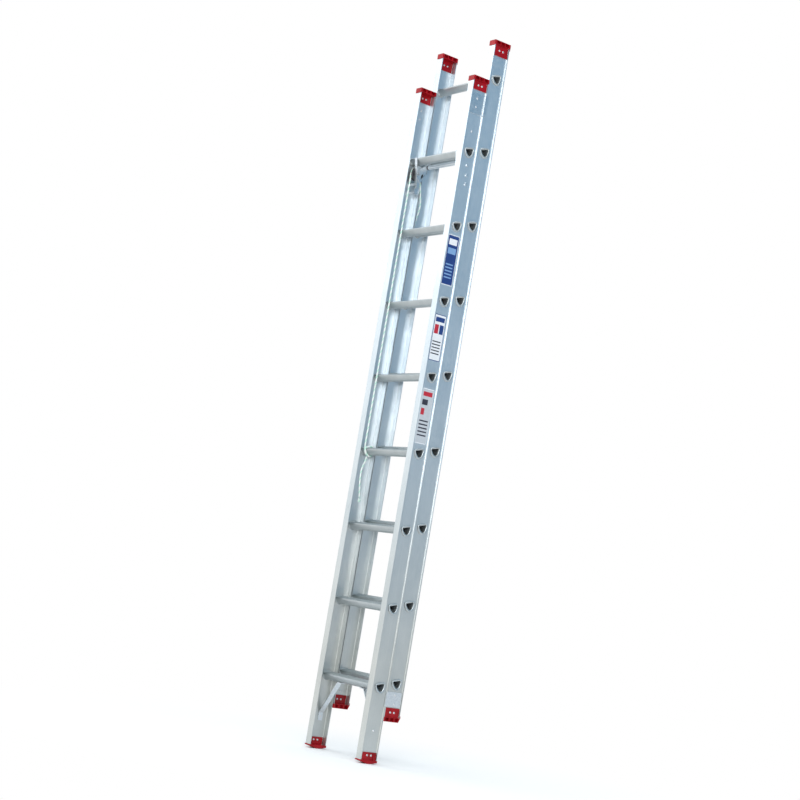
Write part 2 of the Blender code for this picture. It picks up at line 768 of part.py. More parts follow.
def build_tail(material):
    scale = [(x * MM, y * MM - SECTION_Y, z * MM) for x, y, z in TAIL_POINTS]
    rope("rope_tail", smooth_route(scale, 12.0 * MM), material)
    x, y, z = (value * MM for value in KNOT_CENTRE)
    bm = bmesh.new()
    bmesh.ops.create_icosphere(bm, subdivisions=2, radius=KNOT_RADIUS)
    bmesh.ops.translate(bm, verts=bm.verts, vec=(x, y - SECTION_Y, z))
    build("rope_end_knot", [bm], [], material, 40.0)


def build_anchor(material):
    """A clamp block on the fly web that grips the end of the rope."""
    web_in = FLY_HALF_WIDTH - OUTER_RECESS - WEB_THICK
    centre_y = STOW_Y - SECTION_Y
    reach = ROPE_RADIUS + 3.0 * MM
    near = SECTION_Y - HALF_DEPTH + FLANGE_THICK + GAP
    left = -web_in + GAP
    outline = [
        (left, near + FILLET + GAP),
        (left + FILLET + GAP, near),
        (STOW_X + reach, near),
        (STOW_X + reach, centre_y + reach),
        (left, centre_y + reach),
    ]
    body = prism(outline, "z", ANCHOR_Z[0], ANCHOR_Z[1])
    hole = circle((STOW_X, centre_y), ROPE_RADIUS + GAP, 16)
    cut = prism(hole, "z", ANCHOR_Z[0] - 1.0 * MM, ANCHOR_Z[1] + 1.0 * MM)
    notch = box(
        (-web_in - 1.0 * MM, STOW_X),
        (centre_y - ROPE_RADIUS - GAP, centre_y + ROPE_RADIUS + GAP),
        (ANCHOR_Z[0] - 1.0 * MM, ANCHOR_Z[1] + 1.0 * MM),
    )
    build("rope_anchor", [body], [cut, notch], material)


def add_pivot(name, location):
    pivot = bpy.data.objects.new(name, None)
    bpy.context.scene.collection.objects.link(pivot)
    pivot.location = location
    return pivot


def set_parent(item, pivot):
    """Hang a node on its pivot, with the node's own origin on the pivot."""
    offset = Vector(pivot.location)
    for vert in item.data.vertices:
        vert.co -= offset
    item.parent = pivot
    for modifier in item.modifiers:
        tool = modifier.object
        for vert in tool.data.vertices:
            vert.co -= offset
        tool.parent = pivot


def main():
    clear_scene()
    aluminium = make_material("aluminium", (0.62, 0.68, 0.72), 0.9, 0.38)
    rung_metal = make_material("rung_aluminium", (0.60, 0.64, 0.67), 0.85, 0.45)
    red = make_material("red_plastic", (0.42, 0.01, 0.03), 0.0, 0.35)
    steel = make_material("zinc_steel", (0.55, 0.57, 0.58), 0.9, 0.35)
    dark = make_material("dark_steel", (0.06, 0.065, 0.07), 0.6, 0.5)
    black = make_material("black_plastic", (0.03, 0.03, 0.035), 0.0, 0.45)
    cord = make_material("green_white_rope", (0.66, 0.80, 0.76), 0.0, 0.85)

    base_levels = [BASE_RUNG_FIRST + i * RUNG_PITCH for i in range(BASE_RUNGS)]
    fly_levels = [FLY_RUNG_FIRST + i * RUNG_PITCH for i in range(FLY_RUNGS)]
    bolt_holes = [(AXLE_Y, AXLE_Z, AXLE_RADIUS + GAP)]
    bolt_holes += [(y, z, BOLT_RADIUS + GAP) for y, z in LOWER_BOLTS]
    base_web = BASE_HALF_WIDTH - OUTER_RECESS
    fly_web = FLY_HALF_WIDTH - OUTER_RECESS

    fly_slide = add_pivot("fly_slide_frame", (0.0, SECTION_Y, 0.0))
    latch = add_pivot("latch_pivot", (0.0, AXLE_Y - SECTION_Y, AXLE_Z))
    lock_bar("lock_bar", aluminium, latch)
    base_lip = HALF_DEPTH + CAP_LIP
    for side, label in ((-1, "left"), (1, "right")):
        build_stile(f"base_stile_{label}", BASE_HALF_WIDTH, -SECTION_Y, BASE_STILE_Z,
                    base_levels, bolt_holes, side, aluminium)
        base_foot(f"base_foot_{label}", side, red)
        end_cap(f"base_cap_{label}", BASE_HALF_WIDTH, -SECTION_Y, BASE_STILE_Z[1], 1,
                -base_lip, HALF_DEPTH + 0.8 * MM, BASE_SKIRT, side, red)
        guide_plate(f"base_guide_{label}", base_web, fly_web, -SECTION_Y, 1, BASE_GUIDE_Z, side, steel)
        brace_strap(f"base_brace_{label}", side, steel)
        lock_bracket(f"lock_bracket_{label}", side, steel)
        lock_axle(f"lock_axle_{label}", side, steel)
        lock_spring(f"lock_spring_{label}", side, steel)
        for place, centre in zip(("upper", "lower"), LOWER_BOLTS):
            lower_bolt(f"lock_bolt_{place}_{label}", centre, side, steel)
        lock_hook(f"lock_hook_{label}", side, steel, latch)
        lock_disc(f"lock_disc_{label}", side, dark, latch)
        fly_items = [
            build_stile(f"fly_stile_{label}", FLY_HALF_WIDTH, SECTION_Y, FLY_STILE_Z,
                        fly_levels, [], side, aluminium),
            end_cap(f"fly_cap_top_{label}", FLY_HALF_WIDTH, SECTION_Y, FLY_STILE_Z[1], 1,
                    -HALF_DEPTH - 3.0 * MM, base_lip, FLY_SKIRT, side, red),
            end_cap(f"fly_cap_bottom_{label}", FLY_HALF_WIDTH, SECTION_Y, FLY_STILE_Z[0], -1,
                    -HALF_DEPTH - 0.4 * MM, base_lip, FLY_LOW_SKIRT, side, red, FLY_LOW_TAPER),
            guide_plate(f"fly_guide_{label}", fly_web, base_web, SECTION_Y, -1, FLY_GUIDE_Z, side, steel),
        ]
        for item in fly_items:
            set_parent(item, fly_slide)

    wheel_pivot = add_pivot("pulley_pivot", (WHEEL_X, AXLE_Y - SECTION_Y, AXLE_Z))
    pulley_wheel("pulley_wheel", black, wheel_pivot)

    for index, level in enumerate(base_levels):
        build(f"base_rung_{index + 1}", [rung_bm(base_web, -SECTION_Y, level)], [], rung_metal, 40.0)
    for index, level in enumerate(fly_levels):
        item = build(f"fly_rung_{index + 1}", [rung_bm(fly_web, SECTION_Y, level)], [], rung_metal, 40.0)
        set_parent(item, fly_slide)

    build_ropes(cord)
    build_hitch(cord)
    build_tail(cord)
    build_anchor(steel)


main()
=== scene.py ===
"""Looks for the two-section aluminium extension ladder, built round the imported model.

Lengths are metres in the CAD frame: Z up the stiles, X across, Y from front to wall.
"""

import json
import math

import bmesh
import bpy
from mathutils import Matrix, Vector


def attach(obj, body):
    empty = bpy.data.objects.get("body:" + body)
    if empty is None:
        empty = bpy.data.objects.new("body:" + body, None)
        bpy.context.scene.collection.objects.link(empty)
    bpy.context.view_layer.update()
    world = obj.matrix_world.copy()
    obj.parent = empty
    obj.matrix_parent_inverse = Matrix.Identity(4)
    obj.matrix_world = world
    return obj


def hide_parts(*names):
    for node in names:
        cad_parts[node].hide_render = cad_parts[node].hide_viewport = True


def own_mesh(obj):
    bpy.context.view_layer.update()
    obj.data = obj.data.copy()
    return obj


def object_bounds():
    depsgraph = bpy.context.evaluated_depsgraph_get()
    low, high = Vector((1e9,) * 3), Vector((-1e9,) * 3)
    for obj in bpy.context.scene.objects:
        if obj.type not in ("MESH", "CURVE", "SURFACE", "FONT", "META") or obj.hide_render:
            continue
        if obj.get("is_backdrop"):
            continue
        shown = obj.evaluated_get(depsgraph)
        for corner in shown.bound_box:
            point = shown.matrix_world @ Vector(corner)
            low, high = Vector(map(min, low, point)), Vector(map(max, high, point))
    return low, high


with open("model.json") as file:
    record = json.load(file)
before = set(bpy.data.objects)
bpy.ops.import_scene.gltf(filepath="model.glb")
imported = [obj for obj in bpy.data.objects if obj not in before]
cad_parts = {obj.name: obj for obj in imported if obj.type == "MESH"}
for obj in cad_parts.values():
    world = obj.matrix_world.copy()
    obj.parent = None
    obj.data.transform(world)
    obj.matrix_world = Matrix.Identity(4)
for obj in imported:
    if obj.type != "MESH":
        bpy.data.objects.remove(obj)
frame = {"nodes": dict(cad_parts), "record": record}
CAD_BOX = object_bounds()
NODES = frame["nodes"]
MM = 0.001

# Section planes and stile faces, as built in the CAD
SECTION_Y = 38.0 * MM
OUTER_RECESS = 6.0 * MM
WEB_THICK = 2.4 * MM
BASE_HALF_WIDTH = 193.0 * MM
FLY_HALF_WIDTH = 190.0 * MM
RUNG_PITCH = 300.0 * MM
BASE_RUNG_FIRST = 290.0 * MM
FLY_RUNG_FIRST = 310.0 * MM

# Camera: a level view of a ladder that leans back, so the roll carries the lean
CAMERA_AZIMUTH = 55.1
CAMERA_ELEVATION = -6.6
CAMERA_ROLL = 9.55
CAMERA_DISTANCE = 6.87425
CAMERA_SIDE = 0.0111
CAMERA_RISE = 0.05437
CAMERA_LENS = 78.609
AIM = Vector((0.0, -0.038, 1.340))


# ---------------------------------------------------------------- shader helpers

class Nodes:
    """Short names for building one material's node tree."""

    def __init__(self, name, colour, metallic=0.0, roughness=0.5):
        self.material = bpy.data.materials.new(name)
        self.material.use_nodes = True
        self.tree = self.material.node_tree
        self.shader = self.tree.nodes["Principled BSDF"]
        self.shader.inputs["Base Color"].default_value = (*colour, 1.0)
        self.shader.inputs["Metallic"].default_value = metallic
        self.shader.inputs["Roughness"].default_value = roughness
        self.place = self.tree.nodes.new("ShaderNodeTexCoord").outputs["Object"]

    def node(self, kind, **values):
        made = self.tree.nodes.new(kind)
        for key, value in values.items():
            setattr(made, key, value)
        return made

    def link(self, source, target):
        self.tree.links.new(source, target)

    def stretched(self, scale):
        mapping = self.node("ShaderNodeMapping")
        mapping.inputs["Scale"].default_value = scale
        self.link(self.place, mapping.inputs["Vector"])
        return mapping.outputs["Vector"]

    def noise(self, scale, detail=4.0, roughness=0.55):
        made = self.node("ShaderNodeTexNoise")
        made.inputs["Scale"].default_value = 1.0
        made.inputs["Detail"].default_value = detail
        made.inputs["Roughness"].default_value = roughness
        self.link(self.stretched(scale), made.inputs["Vector"])
        return made.outputs["Fac"]

    def ramp(self, source, stops):
        made = self.node("ShaderNodeValToRGB")
        elements = made.color_ramp.elements
        while len(elements) < len(stops):
            elements.new(0.5)
        for element, (position, colour) in zip(elements, stops):
            element.position = position
            element.color = (*colour, 1.0)
        self.link(source, made.inputs["Fac"])
        return made.outputs["Color"]

    def scaled(self, source, low, high, source_low=0.3, source_high=0.7):
        made = self.node("ShaderNodeMapRange")
        made.inputs["From Min"].default_value = source_low
        made.inputs["From Max"].default_value = source_high
        made.inputs["To Min"].default_value = low
        made.inputs["To Max"].default_value = high
        self.link(source, made.inputs["Value"])
        return made.outputs["Result"]

    def mix(self, fraction, first, second, blend="MIX"):
        made = self.node("ShaderNodeMix", data_type="RGBA", blend_type=blend)
        if isinstance(fraction, float):
            made.inputs["Factor"].default_value = fraction
        else:
            self.link(fraction, made.inputs["Factor"])
        for value, target in ((first, made.inputs[6]), (second, made.inputs[7])):
            if isinstance(value, tuple):
                target.default_value = (*value, 1.0)
            else:
                self.link(value, target)
        return made.outputs[2]

    def colour(self, source):
        self.link(source, self.shader.inputs["Base Color"])

    def rough(self, source):
        self.link(source, self.shader.inputs["Roughness"])

    def bump(self, source, strength, distance):
        made = self.node("ShaderNodeBump")
        made.inputs["Strength"].default_value = strength
        made.inputs["Distance"].default_value = distance
        self.link(source, made.inputs["Height"])
        self.link(made.outputs["Normal"], self.shader.inputs["Normal"])


# Painted shade: how much darker and greyer the stiles are painted near the ground
STILE_LOW_PAINTED_SHADE = (0.84, 0.80, 0.74)


def extruded_aluminium(name, bright, dull, along):
    """Mill-finish aluminium: fine drawing lines along the extrusion, faint stains, soft wear; along
    Z, painted shade darkens and greys the colour towards the ground.
    """
    m = Nodes(name, bright, 0.85, 0.36)
    lines = {"z": (900.0, 900.0, 3.0), "x": (3.0, 900.0, 900.0)}[along]
    drawn = m.noise(lines, 3.0)
    stain = m.noise((9.0, 9.0, 5.0), 5.0, 0.6)
    fine = m.noise((160.0, 160.0, 160.0), 3.0)
    tone = m.ramp(stain, [(0.35, dull), (0.65, bright)])
    streak = m.ramp(drawn, [(0.3, (0.86, 0.88, 0.90)), (0.7, (1.0, 1.0, 1.0))])
    metal = m.mix(0.6, tone, streak, "MULTIPLY")
    # Painted shade: along the stiles the colour is painted darker and greyer from Z 1.5 m down to Z
    # 0.35 m.
    if along == "z":
        height = m.node("ShaderNodeSeparateXYZ")
        m.link(m.place, height.inputs["Vector"])
        low = m.scaled(height.outputs["Z"], 1.0, 0.0, 0.35, 1.5)
        metal = m.mix(low, metal, m.mix(1.0, metal, STILE_LOW_PAINTED_SHADE, "MULTIPLY"))
    m.colour(metal)
    m.rough(m.scaled(fine, 0.30, 0.46))
    m.bump(drawn, 0.12, 0.0004)
    return m.material


def moulded_red(name, deep, light):
    """Injection-moulded plastic: slight mottling, a fine grain, paler where it is rubbed."""
    m = Nodes(name, light, 0.0, 0.34)
    cloud = m.noise((28.0, 28.0, 28.0), 4.0)
    grain = m.noise((1400.0, 1400.0, 1400.0), 2.0)
    m.colour(m.ramp(cloud, [(0.30, deep), (0.70, light)]))
    m.rough(m.scaled(grain, 0.28, 0.42))
    m.bump(grain, 0.10, 0.0002)
    m.shader.inputs["Specular IOR Level"].default_value = 0.28
    return m.material


def plated_steel(name, bright, dull, roughness=0.33):
    """Zinc plating: small crystals of slightly different tone, over a bumpy sheet."""
    m = Nodes(name, bright, 0.9, roughness)
    cells = m.node("ShaderNodeTexVoronoi", feature="F1")
    cells.inputs["Scale"].default_value = 260.0
    m.link(m.place, cells.inputs["Vector"])
    grey = m.ramp(cells.outputs["Color"], [(0.1, dull), (0.9, bright)])
    wear = m.noise((60.0, 60.0, 60.0), 4.0)
    m.colour(m.mix(0.75, bright, grey))
    m.rough(m.scaled(wear, roughness - 0.06, roughness + 0.10))
    m.bump(wear, 0.08, 0.0003)
    return m.material


def dark_finish(name, tone, edge, metallic, roughness):
    m = Nodes(name, tone, metallic, roughness)
    wear = m.noise((120.0, 120.0, 120.0), 5.0, 0.65)
    m.colour(m.ramp(wear, [(0.45, tone), (0.75, edge)]))
    m.rough(m.scaled(wear, roughness - 0.08, roughness + 0.10))
    m.bump(wear, 0.15, 0.0004)
    return m.material


# ---------------------------------------------------------------- mesh helpers

def finish_mesh(bm, name, material, smooth=35.0):
    """Turns a bmesh into a linked object with its material and smooth shading."""
    bmesh.ops.recalc_face_normals(bm, faces=bm.faces)
    mesh = bpy.data.meshes.new(name)
    bm.to_mesh(mesh)
    bm.free()
    mesh.materials.append(material)
    mesh.shade_smooth()
    mesh.set_sharp_from_angle(angle=math.radians(smooth))
    item = bpy.data.objects.new(name, mesh)
    bpy.context.scene.collection.objects.link(item)
    return item


def copy_of(source, name, offset):
    item = bpy.data.objects.new(name, source.data)
    bpy.context.scene.collection.objects.link(item)
    item.location = offset
    return item


def ring_loft(bm, rings, closed_loop=False):
    count = len(rings[0])
    last = len(rings) if closed_loop else len(rings) - 1
    faces = []
    for k in range(last):
        first = rings[k]
        second = rings[(k + 1) % len(rings)]
        for i in range(count):
            j = (i + 1) % count
            faces.append(bm.faces.new((first[i], first[j], second[j], second[i])))
    return faces


def dome(bm, centre, normal, radius, height, sides=20):
    """A rivet head: a low crowned button with a rolled rim, sitting on a face."""
    axis = Vector(normal).normalized()
    across = axis.orthogonal().normalized()
    other = axis.cross(across)
    centre = Vector(centre)
    profile = [(1.0, -0.1), (1.0, 0.18), (0.93, 0.42), (0.74, 0.74), (0.45, 0.94), (0.15, 1.0)]
    rings = []
    for reach, rise in profile:
        ring = []
        for i in range(sides):
            angle = 2.0 * math.pi * i / sides
            flat = across * math.cos(angle) + other * math.sin(angle)
            ring.append(bm.verts.new(centre + flat * radius * reach + axis * height * rise))
        rings.append(ring)
    ring_loft(bm, rings)
    bm.faces.new(rings[0])
    bm.faces.new(rings[-1])


def smooth_path(points, spacing):
    """Evenly spaced points on a smooth curve through the given ones."""
    route = [Vector(p) for p in points]
    fine = []
    for i in range(len(route) - 1):
        before = route[max(i - 1, 0)]
        start = route[i]
        end = route[i + 1]
        after = route[min(i + 2, len(route) - 1)]
        steps = 16
        for k in range(steps):
            t = k / steps
            fine.append(0.5 * (
                2.0 * start
                + (end - before) * t
                + (2.0 * before - 5.0 * start + 4.0 * end - after) * t * t
                + (3.0 * start - before - 3.0 * end + after) * t * t * t
            ))
    fine.append(route[-1])
    return respaced(fine, spacing)


def respaced(fine, spacing):
    lengths = [0.0]
    for first, second in zip(fine, fine[1:]):
        lengths.append(lengths[-1] + (second - first).length)
    count = max(int(round(lengths[-1] / spacing)), 2)
    result = []
    index = 0
    for k in range(count + 1):
        target = lengths[-1] * k / count
        while index < len(fine) - 2 and lengths[index + 1] < target:
            index += 1
        span = lengths[index + 1] - lengths[index]
        part = (target - lengths[index]) / span if span else 0.0
        result.append(fine[index].lerp(fine[index + 1], min(part, 1.0)))
    return result


def path_length(points):
    return sum((b - a).length for a, b in zip(points, points[1:]))


def frames_along(points):
    """Each point with two vectors square to the path, which don't spin along it."""
    side = None
    for i, point in enumerate(points):
        before = points[max(i - 1, 0)]
        after = points[min(i + 1, len(points) - 1)]
        along = (after - before).normalized()
        if side is None:
            side = along.orthogonal().normalized()
        side = (side - along * side.dot(along)).normalized()
        yield point, side, along.cross(side)


ROPE_RADIUS = 3.5 * MM
STRANDS = 3
STRAND_POINTS = 5
LAY_LENGTH = 26.0 * MM


def laid_rope(name, points, material, radius=ROPE_RADIUS):
    """Three strands laid together: a lobed section that turns steadily along the path."""
    bm = bmesh.new()
    uv_layer = bm.loops.layers.uv.new("strand")
    sides = STRANDS * STRAND_POINTS
    rings = []
    run = 0.0
    runs = []
    previous = None
    total = path_length(points)
    for point, side, other in frames_along(points):
        if previous is not None:
            run += (point - previous).length
        previous = point
        edge = min(run, total - run)
        close = 1.0
        if edge < radius:
            close = math.sqrt(max(0.08, 1.0 - (1.0 - edge / radius) ** 2))
        twist = 2.0 * math.pi * run / LAY_LENGTH
        ring = []
        for k in range(sides):
            angle = 2.0 * math.pi * k / sides
            lobe = abs(math.sin(angle * STRANDS / 2.0))
            reach = radius * close * (0.74 + 0.26 * math.sqrt(lobe))
            turned = angle + twist
            outward = side * math.cos(turned) + other * math.sin(turned)
            ring.append(bm.verts.new(point + outward * reach))
        rings.append(ring)
        runs.append(run)
    for k in range(len(rings) - 1):
        for i in range(sides):
            j = (i + 1) % sides
            face = bm.faces.new((rings[k][i], rings[k][j], rings[k + 1][j], rings[k + 1][i]))
            corners = ((runs[k], i), (runs[k], i + 1), (runs[k + 1], i + 1), (runs[k + 1], i))
            for loop, (u, v) in zip(face.loops, corners):
                loop[uv_layer].uv = (u / LAY_LENGTH, v / sides)
    bm.faces.new(rings[0])
    bm.faces.new(rings[-1])
    return finish_mesh(bm, name, material, 70.0)


def wire(name, points, radius, sides, material):
    bm = bmesh.new()
    rings = []
    for point, side, other in frames_along(points):
        rings.append([
            bm.verts.new(point + (side * math.cos(a) + other * math.sin(a)) * radius)
            for a in (2.0 * math.pi * k / sides for k in range(sides))
        ])
    ring_loft(bm, rings)
    bm.faces.new(rings[0])
    bm.faces.new(rings[-1])
    return finish_mesh(bm, name, material, 60.0)


def stand_in(item, body, slot, *nodes):
    """Rides on its body and hides the plain nodes that it stands for; the slot argument is not used.
    """
    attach(item, body)
    if nodes:
        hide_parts(*nodes)


# ---------------------------------------------------------------- materials

STILE = extruded_aluminium("stile_aluminium", (0.78, 0.83, 0.86), (0.69, 0.75, 0.79), "z")
RUNG = extruded_aluminium("rung_aluminium", (0.53, 0.57, 0.58), (0.45, 0.49, 0.50), "x")
RED = moulded_red("red_plastic", (0.25, 0.0012, 0.004), (0.42, 0.003, 0.010))
ZINC = plated_steel("zinc_steel", (0.76, 0.80, 0.83), (0.58, 0.63, 0.67))
RIVET = plated_steel("rivet_steel", (0.80, 0.80, 0.80), (0.62, 0.63, 0.64), 0.28)
DARK = dark_finish("dark_steel", (0.035, 0.038, 0.042), (0.20, 0.20, 0.20), 0.6, 0.45)
BLACK = dark_finish("black_plastic", (0.020, 0.020, 0.023), (0.06, 0.06, 0.06), 0.0, 0.45)

NODE_MATERIALS = {
    "stile_aluminium": STILE,
    "rung_aluminium": RUNG,
    "red_plastic": RED,
    "zinc_steel": ZINC,
    "dark_steel": DARK,
    "black_plastic": BLACK,
}


def rope_material(name, pale, green):
    """Laid cord: one strand of three carries the green tracer, all have fine fibres."""
    m = Nodes(name, pale, 0.0, 0.7)
    uv = m.node("ShaderNodeTexCoord").outputs["UV"]
    parts = m.node("ShaderNodeSeparateXYZ")
    m.link(uv, parts.inputs["Vector"])
    tracer = m.node("ShaderNodeMath", operation="LESS_THAN")
    tracer.inputs[1].default_value = 1.0 / STRANDS
    m.link(parts.outputs["Y"], tracer.inputs[0])
    fibre = m.noise((900.0, 900.0, 300.0), 3.0)
    strand = m.mix(tracer.outputs["Value"], pale, green)
    shade = m.ramp(fibre, [(0.3, (0.84, 0.86, 0.85)), (0.7, (1.0, 1.0, 1.0))])
    m.colour(m.mix(0.8, strand, shade, "MULTIPLY"))
    m.rough(m.scaled(fibre, 0.60, 0.82))
    m.bump(fibre, 0.3, 0.0004)
    m.shader.inputs["Sheen Weight"].default_value = 0.3
    return m.material


ROPE = rope_material("rope_cord", (0.90, 0.95, 0.92), (0.50, 0.84, 0.70))


def paint_nodes():
    slots = {row["node"]: row["material_slot"] for row in frame["record"]["subparts"]}
    for name, item in NODES.items():
        material = NODE_MATERIALS.get(slots.get(name))
        if material is None:
            continue
        item.data.materials.clear()
        item.data.materials.append(material)


def soften(names, width, segments=2):
    """Small rounded edges on moulded and folded pieces, so that they catch the light."""
    for name in names:
        bevel = NODES[name].modifiers.new("edge", "BEVEL")
        bevel.width = width
        bevel.segments = segments
        bevel.limit_method = "ANGLE"
        bevel.angle_limit = math.radians(40.0)
        bevel.harden_normals = False


# ---------------------------------------------------------------- rungs

RUNG_CENTRE = -5.0 * MM
RUNG_HALF = 18.0 * MM
RUNG_HALF_HEIGHT = 14.75 * MM
TILT_COS = math.cos(math.radians(15.0))
TILT_SIN = math.sin(math.radians(15.0))
RIBS = 7
RIB_DEPTH = 1.0 * MM
TREAD_HALF = 15.2 * MM
TREAD_POINTS = 43
SIDE_POINTS = (
    (16.4, 9.2), (17.4, 8.6), (18.0, 7.0), (17.9, 4.6), (17.4, 1.6), (15.9, -1.6), (14.4, -4.8),
    (12.9, -8.0), (11.4, -11.1), (9.8, -13.4), (8.2, -15.6), (6.6, -17.5), (4.6, -19.1), (2.3, -20.0),
)


def fine_section(offset, rib, roundness):
    """Rung section in (y, z): ribbed tread that lies level in use, flanks that draw in to a keel."""
    tread = []
    for i in range(TREAD_POINTS):
        y = TREAD_HALF - 2.0 * TREAD_HALF * i / (TREAD_POINTS - 1)
        wave = 0.5 - 0.5 * math.cos(2.0 * math.pi * RIBS * (y + TREAD_HALF) / (2.0 * TREAD_HALF))
        sharp = min(1.0, 1.6 * wave)
        tread.append((y, 9.5 * MM - rib * (1.0 - sharp)))
    side = [(y * MM, z * MM) for y, z in SIDE_POINTS]
    outline = tread + [(-y, z) for y, z in side] + list(reversed(side))
    wide = (RUNG_HALF + offset) / RUNG_HALF
    tall = (RUNG_HALF_HEIGHT + offset) / RUNG_HALF_HEIGHT
    result = []
    for y, z in outline:
        angle = math.atan2((z - RUNG_CENTRE) / RUNG_HALF_HEIGHT, y / RUNG_HALF)
        oval_y = (RUNG_HALF + offset) * math.cos(angle)
        oval_z = RUNG_CENTRE + (RUNG_HALF_HEIGHT + offset) * math.sin(angle)
        flat_y = y * wide
        flat_z = RUNG_CENTRE + (z - RUNG_CENTRE) * tall
        keep = 1.0 - roundness
        across = flat_y * keep + oval_y * roundness
        rise = flat_z * keep + oval_z * roundness
        result.append((across * TILT_COS - rise * TILT_SIN, across * TILT_SIN + rise * TILT_COS))
    return result


# (distance from the web's outer face, offset, rib share, roundness), from the lip inward
OUTER_STATIONS = (
    (5.9, 3.4, 0.0, 0.50), (5.6, 4.8, 0.0, 0.52), (4.9, 5.9, 0.0, 0.54), (3.6, 6.6, 0.0, 0.55),
    (2.2, 6.4, 0.0, 0.55), (1.2, 5.6, 0.0, 0.52), (0.9, 4.6, 0.0, 0.50), (0.3, 4.2, 0.0, 0.48),
    (0.3, 0.0, 0.0, 0.0), (-2.7, 0.0, 0.0, 0.0),
    (-2.7, 2.8, 0.0, 0.2), (-3.3, 3.6, 0.0, 0.2), (-4.6, 3.5, 0.0, 0.2), (-6.0, 1.8, 0.0, 0.1),
    (-7.1, 0.3, 0.0, 0.0), (-8.0, 0.0, 0.2, 0.0), (-10.0, 0.0, 1.0, 0.0),
)
INNER_STATIONS = (
    (5.7, 2.2, 0.0, 0.34), (5.2, 0.9, 0.0, 0.20), (4.4, -0.3, 0.0, 0.08), (3.2, -1.2, 0.0, 0.0),
    (1.0, -1.7, 0.0, 0.0), (-3.0, -2.0, 0.0, 0.0), (-9.0, -2.0, 0.0, 0.0),
)


def fine_rung(name, web_outer):
    bm = bmesh.new()
    stations = [(web_outer + d * MM, o * MM, r, t) for d, o, r, t in OUTER_STATIONS]
    far = [(-x, o, r, t) for x, o, r, t in reversed(stations)]
    inner = [(web_outer + d * MM, o * MM, r, t) for d, o, r, t in INNER_STATIONS]
    loop = stations + far + [(-x, o, r, t) for x, o, r, t in inner] + list(reversed(inner))
    rings = []
    for x, offset, rib, roundness in loop:
        section = fine_section(offset, rib * RIB_DEPTH, roundness)
        rings.append([bm.verts.new((x, y, z)) for y, z in section])
    ring_loft(bm, rings, closed_loop=True)
    return finish_mesh(bm, name, RUNG, 32.0)


def make_rungs():
    for prefix, half_width, y, first, body in (
        ("base", BASE_HALF_WIDTH, -SECTION_Y, BASE_RUNG_FIRST, "base"),
        ("fly", FLY_HALF_WIDTH, SECTION_Y, FLY_RUNG_FIRST, "fly"),
    ):
        pattern = None
        count = sum(name.startswith(f"{prefix}_rung_") for name in NODES)
        for index in range(count):
            name = f"{prefix}_rung_{index + 1}_fine"
            place = (0.0, y, first + index * RUNG_PITCH)
            if pattern is None:
                item = fine_rung(name, half_width - OUTER_RECESS)
                item.location = place
                pattern = item
            else:
                item = copy_of(pattern, name, place)
            stand_in(item, body, "rung_aluminium", f"{prefix}_rung_{index + 1}")


# ---------------------------------------------------------------- rivets and labels

RIVET_RADIUS = 4.2 * MM
RIVET_HEIGHT = 1.9 * MM
SKIRT_THICK = 3.5 * MM
BRACE_Y = 4.0 * MM - SECTION_Y
CAP_RIVET_Y = (-9.5 * MM, 8.5 * MM)
FITTING_Y = -3.0 * MM
FLY_FITTING_Y = SECTION_Y + 2.0 * MM
PLATE_THICK = 2.3 * MM
BRACE_THICK = 3.3 * MM
BASE_CAP_RIVET_Z = 2.656
FOOT_RIVET_Z = 0.0315
BASE_GUIDE_RIVET_Z = (2.604, 2.570)
BASE_WEB_RIVET_Z = 2.470
BRACE_RIVET_Z = 0.124
FLY_TOP_RIVET_Z = 2.823
FLY_LOW_RIVET_Z = 0.199
FLY_GUIDE_RIVET_Z = (0.266, 0.2315)


def skirt_rivets(half_width, section_y, z):
    """Pairs of rivets through a cap's two skirts, outside and inside the web."""
    web_out = half_width - OUTER_RECESS
    web_in = web_out - WEB_THICK
    spots = []
    for y in CAP_RIVET_Y:
        spots.append(((web_out + SKIRT_THICK, section_y + y, z), 1.0))
        spots.append(((web_in - SKIRT_THICK, section_y + y, z), -1.0))
    return spots


def make_rivets():
    base_web = BASE_HALF_WIDTH - OUTER_RECESS
    fly_web = FLY_HALF_WIDTH - OUTER_RECESS
    base_spots = skirt_rivets(BASE_HALF_WIDTH, -SECTION_Y, BASE_CAP_RIVET_Z)
    base_spots += skirt_rivets(BASE_HALF_WIDTH, -SECTION_Y, FOOT_RIVET_Z)
    plate = base_web + PLATE_THICK
    for z in BASE_GUIDE_RIVET_Z:
        base_spots.append(((plate, FITTING_Y - SECTION_Y, z), 1.0))
        base_spots.append(((base_web - WEB_THICK, FITTING_Y - SECTION_Y, z), -1.0))
    base_spots.append(((base_web, FITTING_Y - SECTION_Y, BASE_WEB_RIVET_Z), 1.0))
    base_spots.append(((base_web, BRACE_Y, BRACE_RIVET_Z), 1.0))
    base_spots.append(((base_web - WEB_THICK - BRACE_THICK, BRACE_Y, BRACE_RIVET_Z), -1.0))
    fly_spots = skirt_rivets(FLY_HALF_WIDTH, SECTION_Y, FLY_TOP_RIVET_Z)
    fly_spots += skirt_rivets(FLY_HALF_WIDTH, SECTION_Y, FLY_LOW_RIVET_Z)
    for z in FLY_GUIDE_RIVET_Z:
        fly_spots.append(((fly_web + PLATE_THICK, FLY_FITTING_Y, z), 1.0))
        fly_spots.append(((fly_web - WEB_THICK, FLY_FITTING_Y, z), -1.0))
    for body, spots in (("base", base_spots), ("fly", fly_spots)):
        for side, label in ((1, "right"), (-1, "left")):
            bm = bmesh.new()
            for (x, y, z), direction in spots:
                dome(bm, (side * x, y, z), (side * direction, 0.0, 0.0), RIVET_RADIUS, RIVET_HEIGHT)
            item = finish_mesh(bm, f"{body}_rivets_{label}", RIVET, 50.0)
            stand_in(item, body, "zinc_steel")


